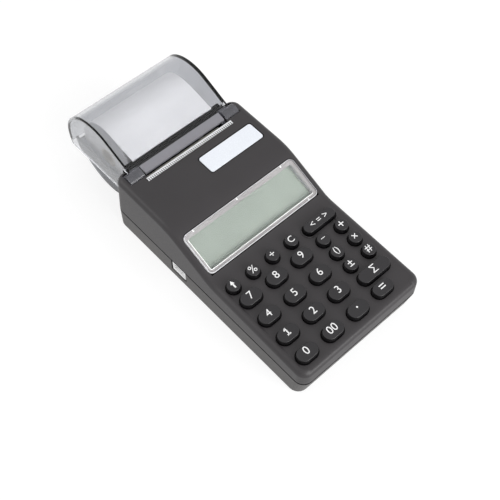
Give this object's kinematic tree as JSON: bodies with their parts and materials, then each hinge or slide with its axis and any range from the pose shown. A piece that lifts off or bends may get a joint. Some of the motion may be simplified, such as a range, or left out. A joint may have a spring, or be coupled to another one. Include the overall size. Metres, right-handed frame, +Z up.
{
  "type": "ticket register",
  "caption": "Hand-held ticket register: keypad, sloped LCD window and a thermal printer whose paper roll sits in a tray under a hinged clear cover.",
  "frame": {"origin": "on the table, under the middle of the overall box", "axes": "+X to the user's right, +Y from the keypad end towards the printer and roll, +Z up"},
  "size_m": [0.087, 0.2042, 0.0562],
  "materials": {
    "upper_shell": "fine spark texture, charcoal",
    "lower_shell": "fine spark texture, mid grey",
    "key_plastic": "satin black with a white legend",
    "clear_window": "polished clear acrylic",
    "display_frame": "satin grey",
    "lcd_panel": "satin grey-green reflective panel",
    "circuit_board": "solder resist",
    "mat_rubber": "matt silicone",
    "chip_plastic": "matt moulding compound",
    "connector_metal": "tin-plated shell",
    "cell_wrap": "printed film sleeve without words",
    "contact_metal": "nickel-plated spring wire",
    "frame_plastic": "glass-filled moulding",
    "head_ceramic": "ground ceramic substrate",
    "platen_rubber": "ground rubber",
    "shaft_steel": "ground steel",
    "bush_brass": "turned",
    "gear_plastic": "natural acetal",
    "motor_steel": "zinc-plated can",
    "tear_steel": "stamped strip",
    "cover_clear": "polished smoky clear",
    "tray_smoke": "dark smoky",
    "paper": "smooth thermal paper",
    "core_card": "kraft board",
    "plate_metal": "blank, satin",
    "foot_rubber": "moulded",
    "screw_steel": "zinc-plated"
  },
  "bodies": {
    "register": {"upper_casing": "upper_shell", "lower_casing": "lower_shell", "case_screws": "screw_steel", "rubber_feet": "foot_rubber", "name_plate": "plate_metal", "display_window": "clear_window", "lcd_frame": "display_frame", "lcd_glass": "lcd_panel", "display_board": "circuit_board", "keypad_mat": "mat_rubber", "keypad_board": "circuit_board", "main_board": "circuit_board", "board_screws": "screw_steel", "board_chips": "chip_plastic", "buzzer": "chip_plastic", "board_header": "chip_plastic", "side_connector": "connector_metal", "battery_cells": "cell_wrap", "battery_contacts": "contact_metal", "printer_frame": "frame_plastic", "print_head": "head_ceramic", "head_springs": "contact_metal", "platen_bushes": "bush_brass", "stepper_motor": "motor_steel", "tear_bar": "tear_steel", "paper_tray": "tray_smoke"},
    "roll_cover": {"roll_cover": "cover_clear"},
    "paper_roll": {"paper_roll": "paper", "roll_core": "core_card"},
    "platen": {"platen_roller": "platen_rubber", "platen_shaft": "shaft_steel", "platen_gear": "gear_plastic"},
    "idler": {"idler_gear": "gear_plastic"},
    "pinion": {"motor_pinion": "bush_brass"},
    "battery_door": {"battery_door": "lower_shell"},
    "key_up": {"key_up": "key_plastic"},
    "key_function_1": {"key_function_1": "key_plastic"},
    "key_function_2": {"key_function_2": "key_plastic"},
    "key_clear": {"key_clear": "key_plastic"},
    "key_minus": {"key_minus": "key_plastic"},
    "key_plus": {"key_plus": "key_plastic"},
    "key_function_3": {"key_function_3": "key_plastic"},
    "key_function_4": {"key_function_4": "key_plastic"},
    "key_function_5": {"key_function_5": "key_plastic"},
    "key_function_6": {"key_function_6": "key_plastic"},
    "key_mode": {"key_mode": "key_plastic"},
    "key_subtotal": {"key_subtotal": "key_plastic"},
    "key_total": {"key_total": "key_plastic"},
    "key_7": {"key_7": "key_plastic"},
    "key_8": {"key_8": "key_plastic"},
    "key_9": {"key_9": "key_plastic"},
    "key_4": {"key_4": "key_plastic"},
    "key_5": {"key_5": "key_plastic"},
    "key_6": {"key_6": "key_plastic"},
    "key_1": {"key_1": "key_plastic"},
    "key_2": {"key_2": "key_plastic"},
    "key_3": {"key_3": "key_plastic"},
    "key_0": {"key_0": "key_plastic"},
    "key_00": {"key_00": "key_plastic"},
    "key_point": {"key_point": "key_plastic"}
  },
  "joints": [
    {"name": "cover_hinge", "type": "hinge", "parent": "register", "child": "roll_cover", "pos_m": [0, 0.0408, 0.04082], "axis": [1, 0, 0], "range_deg": [0, 80]},
    {"name": "roll_spin", "type": "hinge", "parent": "register", "child": "paper_roll", "pos_m": [0, 0.0736, 0.0254], "axis": [1, 0, 0], "continuous": true},
    {"name": "platen_spin", "type": "hinge", "parent": "register", "child": "platen", "pos_m": [0, 0.0362, 0.03152], "axis": [1, 0, 0], "continuous": true},
    {"name": "idler_spin", "type": "hinge", "parent": "register", "child": "idler", "pos_m": [0, 0.02709, 0.02992], "axis": [1, 0, 0], "continuous": true},
    {"name": "pinion_spin", "type": "hinge", "parent": "register", "child": "pinion", "pos_m": [0, 0.0202, 0.0287], "axis": [1, 0, 0], "continuous": true},
    {"name": "door_slide", "type": "slide", "parent": "register", "child": "battery_door", "axis": [0, 1, 0], "range_m": [0, 0.01]},
    {"name": "press_up", "type": "slide", "parent": "register", "child": "key_up", "axis": [0, 0.0436, -0.999], "range_m": [0, 0.0012], "stiffness_N_per_m": 450, "springref_m": -0.0002},
    {"name": "press_function_1", "type": "slide", "parent": "register", "child": "key_function_1", "axis": [0, 0.0436, -0.999], "range_m": [0, 0.0012], "stiffness_N_per_m": 450, "springref_m": -0.0002},
    {"name": "press_function_2", "type": "slide", "parent": "register", "child": "key_function_2", "axis": [0, 0.0436, -0.999], "range_m": [0, 0.0012], "stiffness_N_per_m": 450, "springref_m": -0.0002},
    {"name": "press_clear", "type": "slide", "parent": "register", "child": "key_clear", "axis": [0, 0.0436, -0.999], "range_m": [0, 0.0012], "stiffness_N_per_m": 450, "springref_m": -0.0002},
    {"name": "press_minus", "type": "slide", "parent": "register", "child": "key_minus", "axis": [0, 0.0436, -0.999], "range_m": [0, 0.0012], "stiffness_N_per_m": 450, "springref_m": -0.0002},
    {"name": "press_plus", "type": "slide", "parent": "register", "child": "key_plus", "axis": [0, 0.0436, -0.999], "range_m": [0, 0.0012], "stiffness_N_per_m": 450, "springref_m": -0.0002},
    {"name": "press_function_3", "type": "slide", "parent": "register", "child": "key_function_3", "axis": [0, 0.0436, -0.999], "range_m": [0, 0.0012], "stiffness_N_per_m": 450, "springref_m": -0.0002},
    {"name": "press_function_4", "type": "slide", "parent": "register", "child": "key_function_4", "axis": [0, 0.0436, -0.999], "range_m": [0, 0.0012], "stiffness_N_per_m": 450, "springref_m": -0.0002},
    {"name": "press_function_5", "type": "slide", "parent": "register", "child": "key_function_5", "axis": [0, 0.0436, -0.999], "range_m": [0, 0.0012], "stiffness_N_per_m": 450, "springref_m": -0.0002},
    {"name": "press_function_6", "type": "slide", "parent": "register", "child": "key_function_6", "axis": [0, 0.0436, -0.999], "range_m": [0, 0.0012], "stiffness_N_per_m": 450, "springref_m": -0.0002},
    {"name": "press_mode", "type": "slide", "parent": "register", "child": "key_mode", "axis": [0, 0.0436, -0.999], "range_m": [0, 0.0012], "stiffness_N_per_m": 450, "springref_m": -0.0002},
    {"name": "press_subtotal", "type": "slide", "parent": "register", "child": "key_subtotal", "axis": [0, 0.0436, -0.999], "range_m": [0, 0.0012], "stiffness_N_per_m": 450, "springref_m": -0.0002},
    {"name": "press_total", "type": "slide", "parent": "register", "child": "key_total", "axis": [0, 0.0436, -0.999], "range_m": [0, 0.0012], "stiffness_N_per_m": 450, "springref_m": -0.0002},
    {"name": "press_7", "type": "slide", "parent": "register", "child": "key_7", "axis": [0, 0.0436, -0.999], "range_m": [0, 0.0012], "stiffness_N_per_m": 450, "springref_m": -0.0002},
    {"name": "press_8", "type": "slide", "parent": "register", "child": "key_8", "axis": [0, 0.0436, -0.999], "range_m": [0, 0.0012], "stiffness_N_per_m": 450, "springref_m": -0.0002},
    {"name": "press_9", "type": "slide", "parent": "register", "child": "key_9", "axis": [0, 0.0436, -0.999], "range_m": [0, 0.0012], "stiffness_N_per_m": 450, "springref_m": -0.0002},
    {"name": "press_4", "type": "slide", "parent": "register", "child": "key_4", "axis": [0, 0.0436, -0.999], "range_m": [0, 0.0012], "stiffness_N_per_m": 450, "springref_m": -0.0002},
    {"name": "press_5", "type": "slide", "parent": "register", "child": "key_5", "axis": [0, 0.0436, -0.999], "range_m": [0, 0.0012], "stiffness_N_per_m": 450, "springref_m": -0.0002},
    {"name": "press_6", "type": "slide", "parent": "register", "child": "key_6", "axis": [0, 0.0436, -0.999], "range_m": [0, 0.0012], "stiffness_N_per_m": 450, "springref_m": -0.0002},
    {"name": "press_1", "type": "slide", "parent": "register", "child": "key_1", "axis": [0, 0.0436, -0.999], "range_m": [0, 0.0012], "stiffness_N_per_m": 450, "springref_m": -0.0002},
    {"name": "press_2", "type": "slide", "parent": "register", "child": "key_2", "axis": [0, 0.0436, -0.999], "range_m": [0, 0.0012], "stiffness_N_per_m": 450, "springref_m": -0.0002},
    {"name": "press_3", "type": "slide", "parent": "register", "child": "key_3", "axis": [0, 0.0436, -0.999], "range_m": [0, 0.0012], "stiffness_N_per_m": 450, "springref_m": -0.0002},
    {"name": "press_0", "type": "slide", "parent": "register", "child": "key_0", "axis": [0, 0.0436, -0.999], "range_m": [0, 0.0012], "stiffness_N_per_m": 450, "springref_m": -0.0002},
    {"name": "press_00", "type": "slide", "parent": "register", "child": "key_00", "axis": [0, 0.0436, -0.999], "range_m": [0, 0.0012], "stiffness_N_per_m": 450, "springref_m": -0.0002},
    {"name": "press_point", "type": "slide", "parent": "register", "child": "key_point", "axis": [0, 0.0436, -0.999], "range_m": [0, 0.0012], "stiffness_N_per_m": 450, "springref_m": -0.0002}
  ],
  "couplings": [
    {"joint": "idler_spin", "follows": "platen_spin", "ratio": -1.0556},
    {"joint": "pinion_spin", "follows": "platen_spin", "ratio": 1.9}
  ]
}
